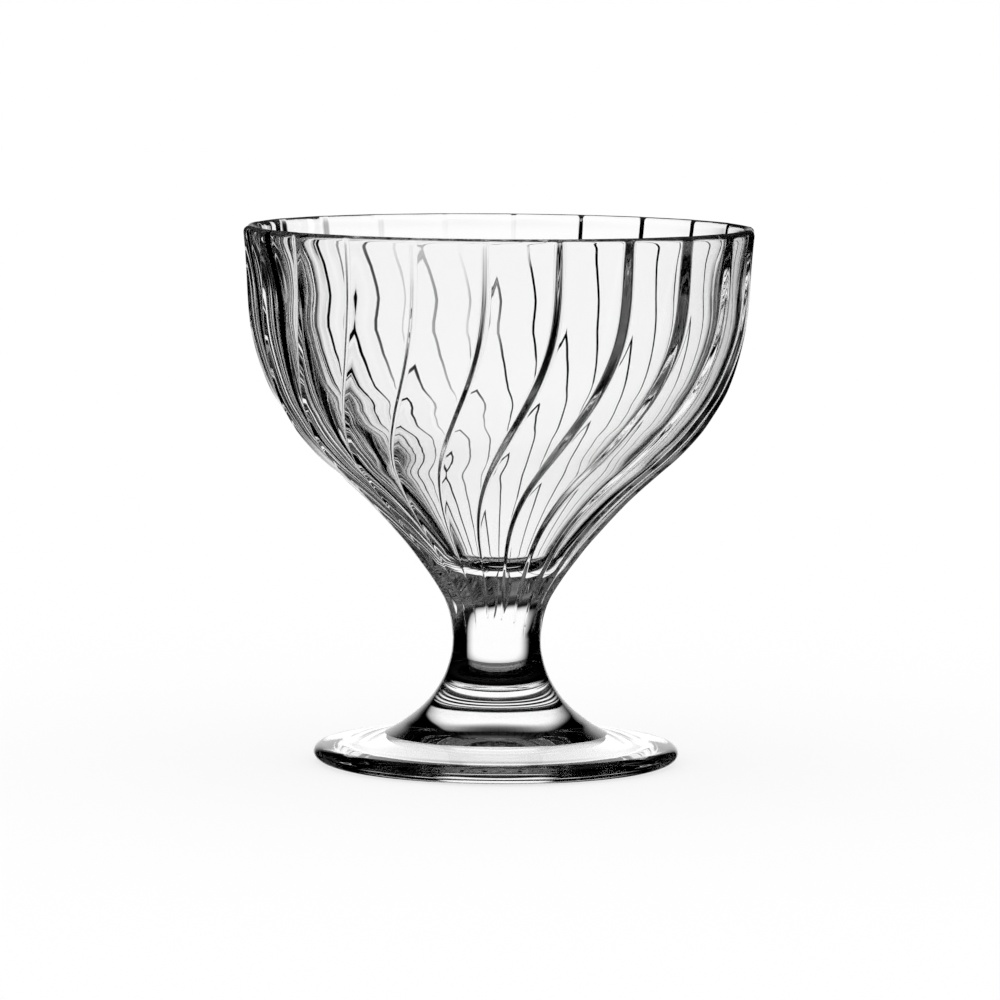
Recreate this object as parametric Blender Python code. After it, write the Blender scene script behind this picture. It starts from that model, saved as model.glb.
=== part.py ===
"""Footed dessert cup in clear pressed glass: a bowl with swirled panels, a solid stem and a round foot.

The foot rests on z = 0 and the cup stands on the Z axis. Sizes are in millimetres until the last step.
"""

import math

import bmesh
import bpy

# Driving sizes
HEIGHT = 105.8
RIM_DIAMETER = 101.0
LIP_WIDTH = 2.6
LIP_DROP = 2.0
LIP_TAPER = 15.0
WALL = 4.8
BOTTOM_WALL = 7.0
FLOOR_ROUND = 3.1
FLOOR_THICKNESS = 16.0
NECK_DIAMETER = 17.4
NECK_HEIGHT = 24.4
FLARE_DIAMETER = 44.0
FLARE_HEIGHT = 5.6
FOOT_DIAMETER = 72.2
FOOT_EDGE = 3.6
FOOT_ROUND = 2.5
RING_WIDTH = 4.0
HOLLOW_DEPTH = 4.0
SEAM_GAP = 0.3

# The swirled panels: their number, the turn from rim to neck, and the depth of the step from each up to the next
PANELS = 22
SWIRL_DEGREES = 24.0
FIRST_RIDGE_DEGREES = -92.2
PANEL_DEPTH = 0.9
FADE_LENGTH = 18.0
RISER_SHARE = 0.06
RIM_DEPTH_SHARE = 0.42

# The shares of the bowl's height where the swirl begins and ends, and how late it takes hold
SWIRL_TOP = 0.95
SWIRL_BOTTOM = 0.22
SWIRL_BEND = 1.7

# The bell of the bowl, from rim to neck: (share of the height above the neck, share of the flare beyond the neck)
BELL = (
    (0.947, 0.993),
    (0.903, 0.987),
    (0.830, 0.979),
    (0.788, 0.972),
    (0.748, 0.961),
    (0.712, 0.945),
    (0.676, 0.925),
    (0.640, 0.901),
    (0.603, 0.871),
    (0.574, 0.840),
    (0.543, 0.802),
    (0.511, 0.760),
    (0.479, 0.708),
    (0.446, 0.647),
    (0.409, 0.567),
    (0.372, 0.488),
    (0.335, 0.414),
    (0.300, 0.347),
    (0.263, 0.281),
    (0.226, 0.218),
    (0.190, 0.164),
    (0.154, 0.112),
    (0.117, 0.065),
    (0.087, 0.034),
    (0.046, 0.010),
)
# The trumpet of the stem, from neck to flare, in the same two shares
TRUMPET = (
    (0.872, 0.011),
    (0.744, 0.051),
    (0.616, 0.114),
    (0.488, 0.209),
    (0.360, 0.335),
    (0.234, 0.511),
    (0.145, 0.673),
    (0.085, 0.789),
)
# Where the vertices of one panel lie, from its crest round to the foot of the next riser
PANEL_POINTS = (0.0, 0.3, 0.65, 1.0 - RISER_SHARE)
PLAIN_STEPS = 3 * PANELS
LIP_STEPS = 6

RIM_RADIUS = RIM_DIAMETER / 2
NECK_RADIUS = NECK_DIAMETER / 2
FLARE_RADIUS = FLARE_DIAMETER / 2
FOOT_RADIUS = FOOT_DIAMETER / 2
LIP_HEIGHT = HEIGHT - LIP_DROP
BOWL_HEIGHT = HEIGHT - NECK_HEIGHT
FLOOR_HEIGHT = NECK_HEIGHT + FLOOR_THICKNESS
SWIRL = math.radians(SWIRL_DEGREES)
FIRST_RIDGE = math.radians(FIRST_RIDGE_DEGREES)


def ease(share):
    """A smooth 0 to 1, flat at both ends."""
    share = min(max(share, 0.0), 1.0)
    return share * share * (3.0 - 2.0 * share)


def turn(z):
    """How far the panels have swirled at this height."""
    above_neck = (z - NECK_HEIGHT) / BOWL_HEIGHT
    return -SWIRL * ease((SWIRL_TOP - above_neck) / (SWIRL_TOP - SWIRL_BOTTOM)) ** SWIRL_BEND


def panel_depth(share, radius, z):
    """How far the panel lies inside its crests: a flat panel, tilted, with a riser up to the next crest."""
    flat = radius * (1.0 - math.cos(math.pi / PANELS)) * 4.0 * share * (1.0 - share)
    tilt = PANEL_DEPTH * (radius / RIM_RADIUS) ** 0.6 * share / (1.0 - RISER_SHARE)
    at_rim = RIM_DEPTH_SHARE + (1.0 - RIM_DEPTH_SHARE) * min((LIP_HEIGHT - z) / FADE_LENGTH, 1.0)
    at_rim *= ease((LIP_HEIGHT - z) / LIP_DROP)
    at_neck = ease((z - NECK_HEIGHT) / (0.16 * BOWL_HEIGHT))
    return (flat + tilt) * at_rim * at_neck


def bell_profile():
    """The outside of the bowl, from just under the lip to the neck."""
    flare = RIM_RADIUS - NECK_RADIUS
    return [(RIM_RADIUS, LIP_HEIGHT)] + [
        (NECK_RADIUS + out * flare, NECK_HEIGHT + up * BOWL_HEIGHT) for up, out in BELL
    ]


def inside_profile(outside):
    """The inside of the bowl: the outside moved in by the wall, which grows from the lip down to a rounded floor."""
    points = [(RIM_RADIUS - LIP_WIDTH, LIP_HEIGHT)]
    for before, here, after in zip(outside[:-2:2], outside[1:-1:2], outside[2::2]):
        dr, dz = before[0] - after[0], before[1] - after[1]
        length = math.hypot(dr, dz)
        low = ease((HEIGHT - here[1]) / (HEIGHT - FLOOR_HEIGHT))
        wall = LIP_WIDTH + (WALL - LIP_WIDTH) * ease((LIP_HEIGHT - here[1]) / LIP_TAPER)
        wall += (BOTTOM_WALL - wall) * low
        r, z = here[0] - wall * dz / length, here[1] + wall * dr / length
        if z > FLOOR_HEIGHT + FLOOR_ROUND and r < points[-1][0]:
            points.append((r, z))
    r, z = points[-1]
    drop = z - FLOOR_HEIGHT
    return points + [(r * math.cos(a), z - drop * math.sin(a)) for a in map(math.radians, (25.0, 50.0, 70.0))]


def lip_profile():
    """The fire-polished lip: half an ellipse from the inside over to the outside."""
    half = LIP_WIDTH / 2
    angles = [math.pi * i / LIP_STEPS for i in range(1, LIP_STEPS)]
    return [(RIM_RADIUS - half + half * math.cos(a), LIP_HEIGHT + LIP_DROP * math.sin(a)) for a in angles]


def glass(name):
    material = bpy.data.materials.new(name)
    material.use_nodes = True
    shader = material.node_tree.nodes["Principled BSDF"]
    shader.inputs["Base Color"].default_value = (0.98, 0.99, 0.99, 1.0)
    shader.inputs["Roughness"].default_value = 0.02
    shader.inputs["IOR"].default_value = 1.5
    shader.inputs["Transmission Weight"].default_value = 1.0
    return material


def turned(name, rings, top, bottom):
    """A closed solid from rings of points, the first next to the point `top` and the last next to `bottom`."""
    mesh = bmesh.new()
    rows = [[mesh.verts.new([c / 1000.0 for c in point]) for point in ring] for ring in rings]
    count = len(rows[0])
    for upper, lower in zip(rows, rows[1:]):
        for i in range(count):
            j = (i + 1) % count
            mesh.faces.new((upper[i], lower[i], lower[j], upper[j]))
    for row, z, up in ((rows[0], top, True), (rows[-1], bottom, False)):
        pole = mesh.verts.new((0.0, 0.0, z / 1000.0))
        for i in range(count):
            j = (i + 1) % count
            mesh.faces.new((pole, row[i], row[j]) if up else (pole, row[j], row[i]))
    bmesh.ops.recalc_face_normals(mesh, faces=mesh.faces)
    data = bpy.data.meshes.new(name)
    mesh.to_mesh(data)
    mesh.free()
    data.materials.append(glass(f"{name}_glass"))
    part = bpy.data.objects.new(name, data)
    bpy.context.scene.collection.objects.link(part)
    return part


def plain_ring(r, z, steps=PLAIN_STEPS):
    turns = [FIRST_RIDGE + 2.0 * math.pi * i / steps for i in range(steps)]
    return [(r * math.cos(a), r * math.sin(a), z) for a in turns]


def panel_ring(r, z, swirled):
    """A ring with the vertices of the panels. It follows their depth and turn when swirled, and is round otherwise."""
    ring = []
    for panel in range(PANELS):
        for share in PANEL_POINTS:
            a = FIRST_RIDGE + 2.0 * math.pi * (panel + share) / PANELS
            reach = r
            if swirled:
                a += turn(z)
                reach -= panel_depth(share, r, z)
            ring.append((reach * math.cos(a), reach * math.sin(a), z))
    return ring


def make_bowl():
    outside = bell_profile()
    seam = NECK_HEIGHT + SEAM_GAP / 2
    rings = [panel_ring(r, z, False) for r, z in reversed(inside_profile(outside))]
    rings += [panel_ring(r, z, False) for r, z in reversed(lip_profile())]
    rings += [panel_ring(r, z, True) for r, z in outside]
    rings += [panel_ring(NECK_RADIUS, seam, True)]
    return turned("bowl", rings, FLOOR_HEIGHT, seam)


def make_stem():
    drop = NECK_HEIGHT - FLARE_HEIGHT
    flare = FLARE_RADIUS - NECK_RADIUS
    top, bottom = NECK_HEIGHT - SEAM_GAP / 2, FLARE_HEIGHT + SEAM_GAP / 2
    profile = [(NECK_RADIUS, top)]
    profile += [(NECK_RADIUS + out * flare, FLARE_HEIGHT + up * drop) for up, out in TRUMPET]
    profile += [(FLARE_RADIUS, bottom)]
    return turned("stem", [plain_ring(r, z) for r, z in profile], top, bottom)


def make_foot():
    top = FLARE_HEIGHT - SEAM_GAP / 2
    shoulder = FOOT_RADIUS - FOOT_ROUND
    fall = top - FOOT_EDGE
    ring = FOOT_RADIUS - FOOT_ROUND - RING_WIDTH
    profile = [(FLARE_RADIUS, top)]
    for share in (0.3, 0.7):
        profile.append((FLARE_RADIUS + share * (shoulder - FLARE_RADIUS), top - fall * share ** 0.8))
    for degrees in (90, 60, 30, 0, -30, -60, -90):
        a = math.radians(degrees)
        profile.append(
            (shoulder + FOOT_ROUND * math.cos(a), FOOT_EDGE / 2 + FOOT_EDGE / 2 * math.sin(a))
        )
    profile.append((ring, 0.0))
    for share in (0.9, 0.65, 0.35):
        profile.append((ring * share, HOLLOW_DEPTH * (1.0 - share * share)))
    return turned("foot", [plain_ring(r, z) for r, z in profile], top, HOLLOW_DEPTH)


def main():
    for existing in list(bpy.data.objects):
        bpy.data.objects.remove(existing, do_unlink=True)
    make_bowl()
    make_stem()
    make_foot()


main()
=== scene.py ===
"""Footed dessert cup in clear pressed glass: a bowl with swirled panels, a solid stem and a round foot.

The cup stands on a white floor in a light tent, as clear glass is photographed: a bright panel behind it,
a faint glow overhead and dark elsewhere.
"""

import math

import bmesh
import bpy
from bpy.props import FloatProperty, FloatVectorProperty, IntProperty, PointerProperty
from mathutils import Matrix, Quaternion, Vector


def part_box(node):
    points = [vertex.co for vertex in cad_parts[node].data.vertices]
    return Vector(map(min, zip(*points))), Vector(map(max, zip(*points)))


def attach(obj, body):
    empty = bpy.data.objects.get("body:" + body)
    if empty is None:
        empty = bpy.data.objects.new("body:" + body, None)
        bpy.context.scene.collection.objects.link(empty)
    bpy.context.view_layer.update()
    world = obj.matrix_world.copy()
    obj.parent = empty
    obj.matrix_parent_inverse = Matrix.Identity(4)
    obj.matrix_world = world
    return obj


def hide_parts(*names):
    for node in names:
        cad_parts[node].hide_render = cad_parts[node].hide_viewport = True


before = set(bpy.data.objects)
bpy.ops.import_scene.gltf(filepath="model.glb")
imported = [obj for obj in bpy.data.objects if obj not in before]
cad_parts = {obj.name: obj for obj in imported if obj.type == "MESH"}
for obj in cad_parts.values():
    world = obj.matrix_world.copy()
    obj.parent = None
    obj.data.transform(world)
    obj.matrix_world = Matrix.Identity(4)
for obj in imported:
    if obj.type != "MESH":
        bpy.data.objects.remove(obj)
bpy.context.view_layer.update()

bl_info = {
    "name": "Footed Dessert Cup",
    "version": (1, 0, 0),
    "blender": (4, 5, 0),
    "location": "3D View > Sidebar > Dessert Cup",
    "description": "Makes a pressed-glass dessert cup with swirled panels, and a light tent to show it in",
    "category": "Add Mesh",
}

BOWL_BOX, STEM_BOX, FOOT_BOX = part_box("bowl"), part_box("stem"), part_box("foot")

# The bell of the bowl, from neck to rim: (share of the height above the neck, share of the flare beyond it)
BELL = (
    (0.046, 0.010), (0.087, 0.034), (0.117, 0.065), (0.154, 0.112), (0.190, 0.164), (0.226, 0.218),
    (0.263, 0.281), (0.300, 0.347), (0.335, 0.414), (0.372, 0.488), (0.409, 0.567), (0.446, 0.647),
    (0.479, 0.708), (0.511, 0.760), (0.543, 0.802), (0.574, 0.840), (0.603, 0.871), (0.640, 0.901),
    (0.676, 0.925), (0.712, 0.945), (0.748, 0.961), (0.788, 0.972), (0.830, 0.979), (0.903, 0.987),
    (0.947, 0.993),
)
# The trumpet of the stem, from neck to flare: (share of the height above the flare, share of the way out)
TRUMPET = (
    (0.872, 0.011), (0.744, 0.051), (0.616, 0.114), (0.488, 0.209), (0.360, 0.335), (0.234, 0.511),
    (0.145, 0.673), (0.085, 0.789),
)
# The top of the foot, from flare to edge: (share of the way out, share of the way down)
FOOT_TOP = ((0.30, 0.32), (0.70, 0.72))
# The hollow under the foot, from its ring to the middle, in shares of the ring's radius
HOLLOW = (0.9, 0.65, 0.35, 0.0)

# Degrees round the lip from outside to inside, into the floor of the bowl, and round the edge of the foot
LIP_TURNS = (30, 60, 90, 120, 150)
LIP_TOP = LIP_TURNS.index(90)
FLOOR_TURNS = (25, 50, 70, 90)
EDGE_TURNS = (90, 60, 30, 0, -30, -60, -90)

# Points nearer than this are one point
TOUCH = 1e-6
# The second material of each piece, after its clear glass
FUSED = 1
# Stem and foot are spun as one sector of so many, which is then copied round
SECTORS = 12
# Steps across one panel when its edges are rounded
PANEL_PLACES = 400
# Detail of the ripple's noise and the scuffs' noise, and the noise levels where scuffs start and are full
RIPPLE_DETAIL, SCUFF_DETAIL = 2.0, 4.0
SCUFF_LEVELS = (0.45, 0.65)

SENSOR_MM = 36.0
NEAREST_SEEN = 0.01
TENT_SEGMENTS, TENT_RINGS = 64, 32
GLASS_BOUNCES, MIRROR_BOUNCES = 32, 16
WHITE = (1.0, 1.0, 1.0, 1.0)


def number(name, default, description, **options):
    return FloatProperty(name=name, description=description, default=default, **options)


def length(name, default, description):
    return number(name, default, description, min=0.0, unit="LENGTH", precision=5)


def angle(name, degrees, description):
    return number(name, math.radians(degrees), description, unit="ROTATION")


def share(name, default, description):
    return number(name, default, description, min=0.0, max=1.0, subtype="FACTOR")


def whole(name, default, description, least):
    return IntProperty(name=name, description=description, default=default, min=least)


class BowlSizes(bpy.types.PropertyGroup):
    """The bell-shaped bowl, its wall and its lip."""

    height: length("Height", BOWL_BOX[1].z, "Top of the lip above the table")
    rim_radius: length("Rim radius", 0.0505, "Widest point of the lip")
    lip_width: length("Lip width", 0.0026, "Thickness of the lip")
    lip_drop: length("Lip drop", 0.0011, "Height of the rounded top of the lip")
    wall: length("Wall", 0.0048, "Thickness of the wall under the lip")
    bottom_wall: length("Bottom wall", 0.0070, "Thickness of the wall at the bottom of the bowl")
    lip_taper: length("Lip taper", 0.0150, "Height under the lip over which the wall reaches its thickness")
    floor_round: length("Floor rounding", 0.0031, "Height over which the inside rounds into its floor")
    floor_thickness: length("Floor thickness", 0.0160, "Glass between the neck and the bottom of the bowl")
    row: length("Row spacing", 0.00085, "Distance between rows of faces outside")
    inner_row: length("Inner row spacing", 0.0020, "Distance between rows of faces inside")


class PanelSizes(bpy.types.PropertyGroup):
    """The swirled panels pressed into the outside of the bowl."""

    count: whole("Panels", 22, "Panels round the bowl", 3)
    columns: whole("Columns", 24, "Columns of faces on each panel", 4)
    swirl: angle("Swirl", 24.0, "Turn of a panel between rim and neck")
    swirl_top: share("Swirl top", 0.95, "Share of the bowl's height where the swirl begins")
    swirl_bottom: share("Swirl bottom", 0.22, "Share of the bowl's height where the swirl ends")
    swirl_bend: number("Swirl bend", 1.7, "Over 1 for a swirl that takes hold low down")
    first_ridge: angle("First ridge", -92.2, "Direction of the ridge nearest the front, at the rim")
    step: length("Step", 0.0012, "Height of the riser from each panel up to the next")
    riser: share("Riser", 0.115, "Share of a panel's width that its riser takes")
    crest: length("Crest", 0.0009, "Radius of the rounding of the crests")
    soften: share("Soften", 0.025, "Share of a panel's width over which the edges are softened")
    taper: number("Taper", 0.6, "How fast the step falls with the radius")
    flatness: number("Flatness", 1.0, "1 for flat panels, 0 for round ones")
    rim_step: share("Rim step", 0.70, "Share of the panels' depth at their top")
    bead: length("Bead", 0.0003, "Plain bead under the lip")
    shoulder: length("Shoulder", 0.0025, "Height of the rounded top end of the panels")
    plain_rim: length("Plain rim", 0.0300, "Height under the bead over which the panels reach full depth")
    plain_neck: share("Plain neck", 0.12, "Share of the bowl's height over which the panels fade at the neck")


class StemSizes(bpy.types.PropertyGroup):
    """The solid stem, from the neck to the flare that meets the foot."""

    neck_radius: length("Neck radius", 0.0087, "Narrowest point of the stem")
    neck_height: length("Neck height", (BOWL_BOX[0].z + STEM_BOX[1].z) / 2, "Seam between bowl and stem")
    flare_radius: length("Flare radius", 0.0220, "Bottom of the stem, where it meets the foot")
    flare_height: length("Flare height", (STEM_BOX[0].z + FOOT_BOX[1].z) / 2, "Seam between stem and foot")
    columns: whole("Columns", 264, "Columns of faces round the stem", SECTORS)
    row: length("Row spacing", 0.0004, "Distance between rows of faces")


class FootSizes(bpy.types.PropertyGroup):
    """The round foot with its rounded edge, resting ring and shallow hollow."""

    radius: length("Radius", 0.0361, "Edge of the foot")
    edge: length("Edge height", 0.0036, "Thickness of the foot at its edge")
    rounding: length("Rounding", 0.0025, "How far the edge rounds over")
    ring_width: length("Ring width", 0.0040, "Width of the flat ring that rests on the table")
    hollow: length("Hollow", 0.0040, "Depth of the hollow underneath")
    columns: whole("Columns", 264, "Columns of faces round the foot", SECTORS)
    row: length("Row spacing", 0.0005, "Distance between rows of faces")


class GlassFinish(bpy.types.PropertyGroup):
    """Clear fire-polished soda glass."""

    colour: FloatVectorProperty(
        name="Colour", description="Tint of the glass", default=WHITE[:3],
        size=3, subtype="COLOR", min=0.0, max=1.0,
    )
    index: number("Index of refraction", 1.5, "How strongly the glass bends light", min=1.0)
    ripple: length("Ripple", 0.000004, "Height of the faint ripple that pressing leaves")
    ripple_size: length("Ripple size", 0.008, "Width of the ripples")
    ripple_drawn: number("Ripple drawn", 3.0, "Height of the ripples over their width", min=1.0)
    seam: length("Seam", 0.000010, "Depth of the faint line where bowl and stem are joined")
    seam_width: length("Seam width", 0.0003, "Half width of that line")
    wear: share("Wear", 0.08, "Roughness of the scuffed ring that the cup stands on")
    wear_height: length("Wear height", 0.0003, "How far up from the table the scuffs reach")
    scuff_size: length("Scuff size", 0.0006, "Width of the scuffs")


class StageSettings(bpy.types.PropertyGroup):
    """The camera, the white floor and the light tent."""

    camera_back: length("Camera distance", 1.24, "Camera in front of the cup")
    camera_height: length("Camera height", 0.17, "Camera above the table")
    aim_height: length("Aim height", 0.052, "Point on the cup's axis that the camera looks at")
    lens: number("Lens", 227.5, "Focal length in millimetres", unit="CAMERA")
    shift: FloatVectorProperty(name="Shift", description="Camera shift", default=(0.0022, -0.0013), size=2)
    roll: angle("Roll", 0.45, "Camera roll")
    tent_radius: length("Tent radius", 0.22, "Size of the light tent round the cup")
    tent_height: length("Tent height", 0.053, "Middle of the light tent above the table")
    panel_level: number("Panel level", 1.07, "Brightness of the middle of the panel", min=0.0)
    panel_width: angle("Panel width", 31.0, "Half width of the bright panel behind the cup")
    panel_height: angle("Panel height", 30.0, "Half height of the bright panel")
    panel_middle: angle("Panel middle", -6.0, "Height of the panel's middle above the camera's sight")
    panel_core: number("Panel core", 0.62, "Share of the panel at full brightness", min=0.0)
    panel_fade: number("Panel fade", 1.12, "Where the panel has faded out, as a share of its size", min=0.0)
    panel_corner: number("Panel corner", 5.0, "2 for an oval panel, more for square corners", min=1.0)
    panel_right: angle("Panel right", 30.0, "Where the panel is cut off at the right")
    panel_cut: angle("Panel cut", 3.0, "Width of that cut")
    glow_level: number("Glow level", 0.20, "Brightness of the middle of the glow overhead", min=0.0)
    glow_lean: angle("Glow lean", 5.0, "Lean of the glow from overhead, to the camera's right")
    glow_size: angle("Glow size", 36.0, "Half width of the glow, to where it is half as bright")
    glow_blur: share("Glow blur", 0.5, "Share of the half width over which the glow fades, each way")
    floor_size: length("Floor size", 6.0, "Width of the floor")
    floor_gap: length("Floor gap", 0.0002, "How far the floor lies under the resting ring")
    floor_shade: share("Floor shade", 0.25, "How much of the cup's shadow the floor shows")


class CupSettings(bpy.types.PropertyGroup):
    """Every size and finish of the cup and its stage."""

    bowl: PointerProperty(type=BowlSizes)
    panels: PointerProperty(type=PanelSizes)
    stem: PointerProperty(type=StemSizes)
    foot: PointerProperty(type=FootSizes)
    glass: PointerProperty(type=GlassFinish)
    stage: PointerProperty(type=StageSettings)


def ease(t):
    """A smooth 0 to 1, flat at both ends."""
    t = min(max(t, 0.0), 1.0)
    return t * t * (3.0 - 2.0 * t)


def between(before, start, end, after, t):
    """The value a share t of the way from start to end, on a smooth curve through all four."""
    bend = 2.0 * before - 5.0 * start + 4.0 * end - after
    twist = 3.0 * (start - end) + after - before
    return 0.5 * (2.0 * start + (end - before) * t + bend * t**2 + twist * t**3)


def smooth_line(points, spacing):
    """A smooth curve through the (radius, height) points, in steps of about the spacing."""
    line = []
    befores, afters = [points[0], *points], [*points[2:], points[-1]]
    for before, start, end, after in zip(befores, points, points[1:], afters):
        steps = max(1, round(math.dist(start, end) / spacing))
        for i in range(steps):
            line.append(tuple(between(*values, i / steps) for values in zip(before, start, end, after)))
    return [*line, points[-1]]


def arc(degrees, middle, reach_out, reach_up):
    """The (radius, height) points of an ellipse round the middle, at these turns."""
    turns = [math.radians(turn) for turn in degrees]
    return [(middle[0] + reach_out * math.cos(a), middle[1] + reach_up * math.sin(a)) for a in turns]


def spin_profile(bm, profile, sectors, columns, mark=None, marked=0):
    """Turns the (radius, height) profile round the Z axis, one sector and then all. Its ends lie on the axis.

    After the first, as many points as `marked` get 1 in the layer `mark`, and so do their turned copies.
    """
    line = [bm.verts.new((r, 0.0, z)) for r, z in profile]
    for vert in line[1:marked + 1]:
        vert[mark] = 1
    edges = [bm.edges.new(pair) for pair in zip(line, line[1:])]
    full = 2 * math.pi
    about = {
        "cent": (0, 0, 0), "axis": (0, 0, 1), "dvec": (0, 0, 0), "use_merge": False, "use_normal_flip": False,
    }
    bmesh.ops.spin(bm, geom=line + edges, angle=full / sectors, steps=columns, use_duplicate=False, **about)
    sector = bm.verts[:] + bm.edges[:] + bm.faces[:]
    bmesh.ops.spin(bm, geom=sector, angle=full, steps=sectors, use_duplicate=True, **about)
    bmesh.ops.remove_doubles(bm, verts=bm.verts, dist=TOUCH)
    bmesh.ops.recalc_face_normals(bm, faces=bm.faces)


def finish_piece(bm, name, seams):
    """Makes the object of a piece: smooth glass, with its flat faces at the seams fused to the next piece."""
    for face in bm.faces:
        face.smooth = True
        if any(all(abs(v.co.z - seam) < TOUCH for v in face.verts) for seam in seams):
            face.material_index = FUSED
    for edge in bm.edges:
        edge.smooth = len({face.material_index for face in edge.link_faces}) == 1
    mesh = bpy.data.meshes.new(name)
    bm.to_mesh(mesh)
    bm.free()
    mesh.materials.append(glass_material(f"{name}_clear_glass"))
    mesh.materials.append(fused_material())
    piece = bpy.data.objects.new(name, mesh)
    bpy.context.scene.collection.objects.link(piece)
    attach(piece, "root")
    return piece


def math_node(tree, operation, *values):
    """The result of an operation on sockets and plain numbers."""
    node = tree.nodes.new("ShaderNodeMath")
    node.operation = operation
    for socket, value in zip(node.inputs, values):
        if isinstance(value, float):
            socket.default_value = value
        else:
            tree.links.new(value, socket)
    return node.outputs[0]


def map_range(tree, value, start, end, first, last, curve="LINEAR"):
    """Takes the value from its range, start to end, to the range first to last."""
    node = tree.nodes.new("ShaderNodeMapRange")
    node.interpolation_type = curve
    tree.links.new(value, node.inputs["Value"])
    for socket, level in (("From Min", start), ("From Max", end), ("To Min", first), ("To Max", last)):
        node.inputs[socket].default_value = level
    return node.outputs[0]


def drawn_noise(tree, place, size, detail, drawn):
    """Noise of this size across, drawn out upwards."""
    stretch = tree.nodes.new("ShaderNodeMapping")
    stretch.inputs["Scale"].default_value = (1.0 / size, 1.0 / size, 1.0 / (size * drawn))
    tree.links.new(place, stretch.inputs["Vector"])
    noise = tree.nodes.new("ShaderNodeTexNoise")
    noise.inputs["Scale"].default_value = 1.0
    noise.inputs["Detail"].default_value = detail
    tree.links.new(stretch.outputs["Vector"], noise.inputs["Vector"])
    return noise.outputs["Fac"]


def glass_material(name):
    """Clear glass: the ripple of pressing, a faint line at the joint of bowl and stem, and a scuffed ring."""
    cup = bpy.context.scene.dessert_cup
    finish = cup.glass
    material = bpy.data.materials.new(name)
    material.use_nodes = True
    tree = material.node_tree
    shader = tree.nodes["Principled BSDF"]
    shader.inputs["Base Color"].default_value = (*finish.colour, 1.0)
    shader.inputs["IOR"].default_value = finish.index
    shader.inputs["Transmission Weight"].default_value = 1.0
    place = tree.nodes.new("ShaderNodeTexCoord").outputs["Object"]
    axes = tree.nodes.new("ShaderNodeSeparateXYZ")
    tree.links.new(place, axes.inputs[0])
    height = axes.outputs["Z"]

    waves = drawn_noise(tree, place, finish.ripple_size, RIPPLE_DETAIL, finish.ripple_drawn)
    ripple = map_range(tree, waves, 0.0, 1.0, 0.0, finish.ripple)
    from_seam = math_node(tree, "ABSOLUTE", math_node(tree, "SUBTRACT", height, cup.stem.neck_height))
    groove = map_range(tree, from_seam, 0.0, finish.seam_width, -finish.seam, 0.0)
    bump = tree.nodes.new("ShaderNodeBump")
    bump.inputs["Distance"].default_value = 1.0
    tree.links.new(math_node(tree, "ADD", ripple, groove), bump.inputs["Height"])
    tree.links.new(bump.outputs["Normal"], shader.inputs["Normal"])

    scratches = drawn_noise(tree, place, finish.scuff_size, SCUFF_DETAIL, 1.0)
    scuffs = map_range(tree, scratches, *SCUFF_LEVELS, 0.0, finish.wear)
    near_table = map_range(tree, height, 0.0, finish.wear_height, 1.0, 0.0)
    tree.links.new(math_node(tree, "MULTIPLY", scuffs, near_table), shader.inputs["Roughness"])
    return material


def fused_material():
    """The inside of a hot-fused seam, where one piece of glass runs on into the next and nothing shows."""
    material = bpy.data.materials.get("fused_seam")
    if material is None:
        material = bpy.data.materials.new("fused_seam")
        material.use_nodes = True
        shader = material.node_tree.nodes["Principled BSDF"]
        shader.inputs["Alpha"].default_value = 0.0
    return material


def bell_line(cup):
    """The crests outside the bowl, from the neck to just under the lip."""
    bowl, stem = cup.bowl, cup.stem
    rise, flare = bowl.height - stem.neck_height, bowl.rim_radius - stem.neck_radius
    line = [(stem.neck_radius, stem.neck_height)]
    line += [(stem.neck_radius + out * flare, stem.neck_height + up * rise) for up, out in BELL]
    return line + [(bowl.rim_radius, bowl.height - bowl.lip_drop)]


def lip_line(cup):
    """The fire-polished lip: half an ellipse from the outside over to the inside."""
    bowl = cup.bowl
    half = bowl.lip_width / 2
    return arc(LIP_TURNS, (bowl.rim_radius - half, bowl.height - bowl.lip_drop), half, bowl.lip_drop)


def inside_line(cup):
    """The inside of the bowl, from the lip to the middle of its floor: the outside moved in by the wall."""
    bowl = cup.bowl
    floor = cup.stem.neck_height + bowl.floor_thickness
    crest = bell_line(cup)[::-1]
    line = [(bowl.rim_radius - bowl.lip_width, bowl.height - bowl.lip_drop)]
    for above, here, below in zip(crest[:-2:2], crest[1:-1:2], crest[2::2]):
        dr, dz = above[0] - below[0], above[1] - below[1]
        down = (bowl.height - here[1]) / (bowl.height - floor)
        wall = bowl.lip_width + (bowl.wall - bowl.lip_width) * ease((line[0][1] - here[1]) / bowl.lip_taper)
        wall += (bowl.bottom_wall - wall) * ease(down)
        point = (here[0] - wall * dz / math.hypot(dr, dz), here[1] + wall * dr / math.hypot(dr, dz))
        if point[1] > floor + bowl.floor_round and point[0] < line[-1][0]:
            line.append(point)
    r, z = line[-1]
    return line + arc(FLOOR_TURNS, (0.0, z), r, floor - z)


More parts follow.
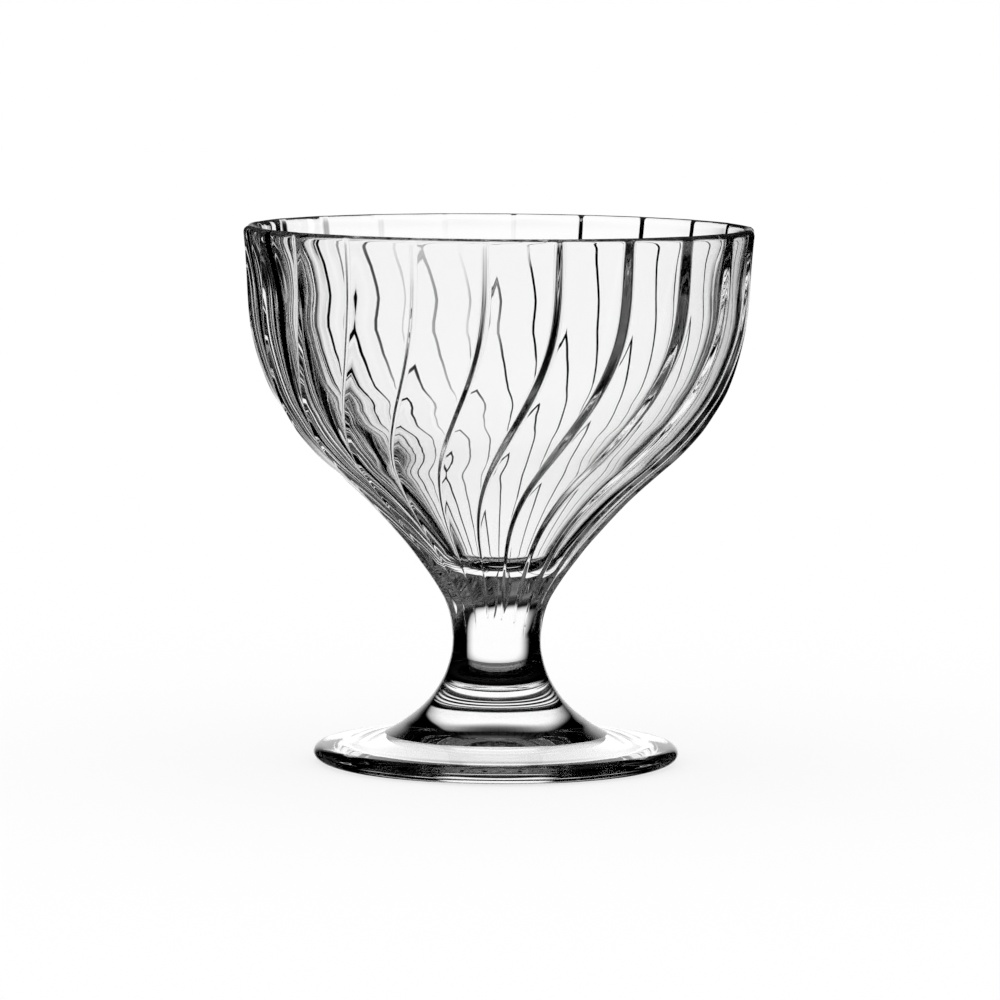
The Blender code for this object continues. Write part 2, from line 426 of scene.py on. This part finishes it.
def panel_columns(panels, rim_radius):
    """For each column of a panel: its place across, and how far the tilt and the flat lie under the crest.

    A ball rolled along the inside of the sharp panels rounds their crests. Half of the columns crowd into
    the riser.
    """
    width = 2 * math.pi * rim_radius / panels.count
    flat_depth = rim_radius * (1.0 - math.cos(math.pi / panels.count)) * panels.flatness
    places = range(PANEL_PLACES)
    depth = []
    for place in places:
        s = place / PANEL_PLACES
        tilt = min(s / (1.0 - panels.riser), (1.0 - s) / panels.riser)
        depth.append(panels.step * tilt + flat_depth * 4.0 * s * (1.0 - s))

    reach = int(panels.crest / width * PANEL_PLACES)
    span = range(-reach, reach + 1)
    ball = [(k, math.sqrt(panels.crest**2 - (k * width / PANEL_PLACES) ** 2)) for k in span]
    rolled = [max(depth[(place + k) % PANEL_PLACES] + up for k, up in ball) for place in places]
    depth = [min(rolled[(place + k) % PANEL_PLACES] - up for k, up in ball) for place in places]

    soft = max(1, int(panels.soften * PANEL_PLACES))
    beside = [(k, 1.0 + math.cos(math.pi * k / (soft + 1))) for k in range(-soft, soft + 1)]
    total = sum(weight for _, weight in beside)
    depth = [
        sum(weight * depth[(place + k) % PANEL_PLACES] for k, weight in beside) / total for place in places
    ]

    lead = panels.crest / width / 2
    riser = panels.riser + panels.soften + lead
    columns = []
    for column in range(panels.columns):
        at = 2.0 * column / panels.columns
        at = lead + (at * (1.0 - riser) if at < 1.0 else 1.0 - riser + (at - 1.0) * riser)
        s = at % 1.0
        flat = 4.0 * s * (1.0 - s)
        tilt = depth[round(s * PANEL_PLACES) % PANEL_PLACES] - flat_depth * flat
        columns.append((at, tilt, flat_depth / rim_radius * flat))
    return columns


def press_panels(bm, outside, cup):
    """Presses the swirled panels into the outside of the spun bowl."""
    bowl, panels, neck = cup.bowl, cup.panels, cup.stem.neck_height
    rise, lip = bowl.height - neck, bowl.height - bowl.lip_drop
    columns = panel_columns(panels, bowl.rim_radius)
    for vert in bm.verts:
        x, y, z = vert.co
        r = math.hypot(x, y)
        if r < TOUCH:
            continue
        nearest = round(math.atan2(y, x) / (2 * math.pi) * panels.count * panels.columns)
        panel, column = divmod(nearest, panels.columns)
        at, tilt, flat = columns[column]
        turn = panels.first_ridge + 2 * math.pi * (panel + at) / panels.count
        if vert[outside]:
            up = (z - neck) / rise
            turned = ease((panels.swirl_top - up) / (panels.swirl_top - panels.swirl_bottom))
            turn -= panels.swirl * turned**panels.swirl_bend
            depth = tilt * (r / bowl.rim_radius) ** panels.taper + flat * r
            below = lip - panels.bead - z
            depth *= panels.rim_step + (1.0 - panels.rim_step) * min(max(below / panels.plain_rim, 0.0), 1.0)
            depth *= ease(1.0 + below / panels.shoulder)
            r -= depth * ease(up / panels.plain_neck)
        vert.co = (r * math.cos(turn), r * math.sin(turn), z)


class CUP_OT_bowl(bpy.types.Operator):
    """Make the bowl with its swirled panels"""

    bl_idname = "dessert_cup.bowl"
    bl_label = "Bowl"
    bl_options = {"REGISTER", "UNDO"}

    def execute(self, context):
        cup = context.scene.dessert_cup
        lip = lip_line(cup)
        crest = smooth_line([*bell_line(cup), *lip[:LIP_TOP + 1]], cup.bowl.row)
        inner = smooth_line([*lip[LIP_TOP:], *inside_line(cup)], cup.bowl.inner_row)[1:]
        bm = bmesh.new()
        outside = bm.verts.layers.int.new("outside")
        profile = [(0.0, cup.stem.neck_height), *crest, *inner]
        spin_profile(bm, profile, cup.panels.count, cup.panels.columns, outside, len(crest))
        press_panels(bm, outside, cup)
        bm.verts.layers.int.remove(outside)
        piece = finish_piece(bm, "bowl_glass", (cup.stem.neck_height,))
        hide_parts("bowl")
        return {"FINISHED"}


class CUP_OT_stem(bpy.types.Operator):
    """Make the solid stem"""

    bl_idname = "dessert_cup.stem"
    bl_label = "Stem"
    bl_options = {"REGISTER", "UNDO"}

    def execute(self, context):
        stem = context.scene.dessert_cup.stem
        drop, flare = stem.neck_height - stem.flare_height, stem.flare_radius - stem.neck_radius
        line = [(stem.neck_radius, stem.neck_height)]
        line += [(stem.neck_radius + out * flare, stem.flare_height + up * drop) for up, out in TRUMPET]
        line += [(stem.flare_radius, stem.flare_height)]
        bm = bmesh.new()
        profile = [(0.0, stem.neck_height), *smooth_line(line, stem.row), (0.0, stem.flare_height)]
        spin_profile(bm, profile, SECTORS, stem.columns // SECTORS)
        piece = finish_piece(bm, "stem_glass", (stem.neck_height, stem.flare_height))
        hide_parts("stem")
        return {"FINISHED"}


class CUP_OT_foot(bpy.types.Operator):
    """Make the round foot"""

    bl_idname = "dessert_cup.foot"
    bl_label = "Foot"
    bl_options = {"REGISTER", "UNDO"}

    def execute(self, context):
        stem, foot = context.scene.dessert_cup.stem, context.scene.dessert_cup.foot
        shoulder = foot.radius - foot.rounding
        half = foot.edge / 2
        reach, fall = shoulder - stem.flare_radius, stem.flare_height - foot.edge
        ring = shoulder - foot.ring_width
        line = [(stem.flare_radius, stem.flare_height)]
        line += [(stem.flare_radius + out * reach, stem.flare_height - down * fall) for out, down in FOOT_TOP]
        line += arc(EDGE_TURNS, (shoulder, half), foot.rounding, half)
        line += [(ring, 0.0)]
        line += [(ring * out, foot.hollow * (1.0 - out * out)) for out in HOLLOW]
        bm = bmesh.new()
        profile = [(0.0, stem.flare_height)] + [(r, max(z, 0.0)) for r, z in smooth_line(line, foot.row)]
        spin_profile(bm, profile, SECTORS, foot.columns // SECTORS)
        piece = finish_piece(bm, "foot_glass", (stem.flare_height,))
        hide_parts("foot")
        return {"FINISHED"}


def tent_material(stage):
    """The inside of the tent: a bright panel behind the cup and a faint glow overhead."""
    material = bpy.data.materials.new("light_tent")
    material.use_nodes = True
    material.cycles.emission_sampling = "NONE"
    tree = material.node_tree
    tree.nodes.clear()

    def solve(operation, *values):
        return math_node(tree, operation, *values)

    def fade(value, start, end):
        """1 up to the start, then down to 0 at the end."""
        return map_range(tree, value, start, end, 1.0, 0.0, "SMOOTHSTEP")

    place = tree.nodes.new("ShaderNodeTexCoord").outputs["Object"]
    direction = tree.nodes.new("ShaderNodeVectorMath")
    direction.operation = "NORMALIZE"
    tree.links.new(place, direction.inputs[0])
    axes = tree.nodes.new("ShaderNodeSeparateXYZ")
    tree.links.new(direction.outputs[0], axes.inputs[0])
    right, up, back = axes.outputs
    azimuth = solve("ARCTAN2", right, solve("MULTIPLY", back, -1.0))
    above = solve("SUBTRACT", solve("ARCSINE", up), stage.panel_middle)
    across = solve("DIVIDE", solve("ABSOLUTE", azimuth), stage.panel_width)
    upward = solve("ABSOLUTE", solve("DIVIDE", above, stage.panel_height))
    corner = stage.panel_corner
    outward = solve("ADD", solve("POWER", across, corner), solve("POWER", upward, corner))
    panel = fade(solve("POWER", outward, 1.0 / corner), stage.panel_core, stage.panel_fade)
    panel = solve("MULTIPLY", panel, fade(azimuth, stage.panel_right - stage.panel_cut, stage.panel_right))
    panel = solve("MULTIPLY", panel, stage.panel_level)

    toward = tree.nodes.new("ShaderNodeVectorMath")
    toward.operation = "DOT_PRODUCT"
    tree.links.new(direction.outputs[0], toward.inputs[0])
    toward.inputs[1].default_value = (math.sin(stage.glow_lean), math.cos(stage.glow_lean), 0.0)
    away = solve("ARCCOSINE", toward.outputs["Value"])
    near, far = stage.glow_size * (1.0 - stage.glow_blur), stage.glow_size * (1.0 + stage.glow_blur)
    overhead = solve("MULTIPLY", fade(away, near, far), stage.glow_level)

    light = tree.nodes.new("ShaderNodeEmission")
    tree.links.new(solve("ADD", panel, overhead), light.inputs["Strength"])
    output = tree.nodes.new("ShaderNodeOutputMaterial")
    tree.links.new(light.outputs[0], output.inputs["Surface"])
    return material


def floor_material(stage):
    """White floor that shows part of the cup's shadow."""
    material = bpy.data.materials.new("white_floor")
    material.use_nodes = True
    nodes, links = material.node_tree.nodes, material.node_tree.links
    nodes.clear()
    paint, light = nodes.new("ShaderNodeBsdfDiffuse"), nodes.new("ShaderNodeEmission")
    paint.inputs["Color"].default_value = WHITE
    mix = nodes.new("ShaderNodeMixShader")
    mix.inputs["Fac"].default_value = stage.floor_shade
    links.new(light.outputs[0], mix.inputs[1])
    links.new(paint.outputs[0], mix.inputs[2])
    output = nodes.new("ShaderNodeOutputMaterial")
    links.new(mix.outputs[0], output.inputs["Surface"])
    return material


def stage_piece(bm, name, material):
    """Makes an object of the stage, which isn't part of the cup."""
    mesh = bpy.data.meshes.new(name)
    bm.to_mesh(mesh)
    bm.free()
    mesh.materials.append(material)
    piece = bpy.data.objects.new(name, mesh)
    bpy.context.scene.collection.objects.link(piece)
    return piece


def place_camera(scene, stage):
    """Places the camera in front of the cup, with a long lens."""
    lens = bpy.data.cameras.new("camera")
    lens.sensor_width = SENSOR_MM
    lens.lens = stage.lens
    lens.shift_x, lens.shift_y = stage.shift
    lens.clip_start = NEAREST_SEEN
    camera = bpy.data.objects.new("camera", lens)
    camera.location = (0.0, -stage.camera_back, stage.camera_height)
    sight = Vector((0.0, stage.camera_back, stage.aim_height - stage.camera_height))
    camera.rotation_mode = "QUATERNION"
    camera.rotation_quaternion = sight.to_track_quat("-Z", "Y") @ Quaternion((0.0, 0.0, 1.0), stage.roll)
    scene.collection.objects.link(camera)
    scene.camera = camera
    return camera


def lay_floor(stage):
    """Lays the floor. It takes the cup's shadow, but the glass neither mirrors it nor shows it."""
    bm = bmesh.new()
    bmesh.ops.create_grid(bm, x_segments=1, y_segments=1, size=stage.floor_size / 2)
    floor = stage_piece(bm, "floor", floor_material(stage))
    floor.location.z = -stage.floor_gap
    floor.visible_transmission = floor.visible_glossy = False


def pitch_tent(stage, camera):
    """Puts the tent round the cup. It turns with the camera, and only the glass sees it."""
    bm = bmesh.new()
    bmesh.ops.create_uvsphere(bm, u_segments=TENT_SEGMENTS, v_segments=TENT_RINGS, radius=stage.tent_radius)
    tent = stage_piece(bm, "light_tent", tent_material(stage))
    tent.location.z = stage.tent_height
    turn = tent.constraints.new("COPY_ROTATION")
    turn.target = camera
    tent.visible_camera = tent.visible_diffuse = tent.visible_shadow = tent.visible_volume_scatter = False


class CUP_OT_stage(bpy.types.Operator):
    """Set up the camera, the white floor and the light tent"""

    bl_idname = "dessert_cup.stage"
    bl_label = "Stage"
    bl_options = {"REGISTER", "UNDO"}

    def execute(self, context):
        scene, stage = context.scene, context.scene.dessert_cup.stage
        camera = place_camera(scene, stage)
        lay_floor(stage)
        pitch_tent(stage, camera)
        world = bpy.data.worlds.new("white_room")
        world.use_nodes = True
        background = world.node_tree.nodes["Background"]
        background.inputs["Color"].default_value = WHITE
        background.inputs["Strength"].default_value = 1.0
        scene.world = world
        scene.view_settings.view_transform = "Standard"
        scene.cycles.max_bounces = scene.cycles.transmission_bounces = GLASS_BOUNCES
        scene.cycles.glossy_bounces = MIRROR_BOUNCES
        return {"FINISHED"}


class CUP_PT_panel(bpy.types.Panel):
    """The cup's sizes and the buttons that make it"""

    bl_idname = "CUP_PT_panel"
    bl_label = "Footed Dessert Cup"
    bl_space_type = "VIEW_3D"
    bl_region_type = "UI"
    bl_category = "Dessert Cup"

    def draw(self, context):
        cup = context.scene.dessert_cup
        for title, settings, operator in (
            ("Stage", cup.stage, CUP_OT_stage),
            ("Bowl", cup.bowl, CUP_OT_bowl),
            ("Panels", cup.panels, None),
            ("Stem", cup.stem, CUP_OT_stem),
            ("Foot", cup.foot, CUP_OT_foot),
            ("Glass", cup.glass, None),
        ):
            box = self.layout.box()
            box.label(text=title)
            for name in settings.__annotations__:
                box.prop(settings, name)
            if operator:
                box.operator(operator.bl_idname)


CLASSES = (
    BowlSizes, PanelSizes, StemSizes, FootSizes, GlassFinish, StageSettings, CupSettings,
    CUP_OT_stage, CUP_OT_bowl, CUP_OT_stem, CUP_OT_foot, CUP_PT_panel,
)


def register():
    for cls in CLASSES:
        bpy.utils.register_class(cls)
    bpy.types.Scene.dessert_cup = PointerProperty(type=CupSettings)


def unregister():
    del bpy.types.Scene.dessert_cup
    for cls in reversed(CLASSES):
        bpy.utils.unregister_class(cls)


def build():
    """Runs the operators in order."""
    bpy.ops.dessert_cup.stage()
    bpy.ops.dessert_cup.bowl()
    bpy.ops.dessert_cup.stem()
    bpy.ops.dessert_cup.foot()


def main():
    register()
    build()


if __name__ == "__main__":
    main()
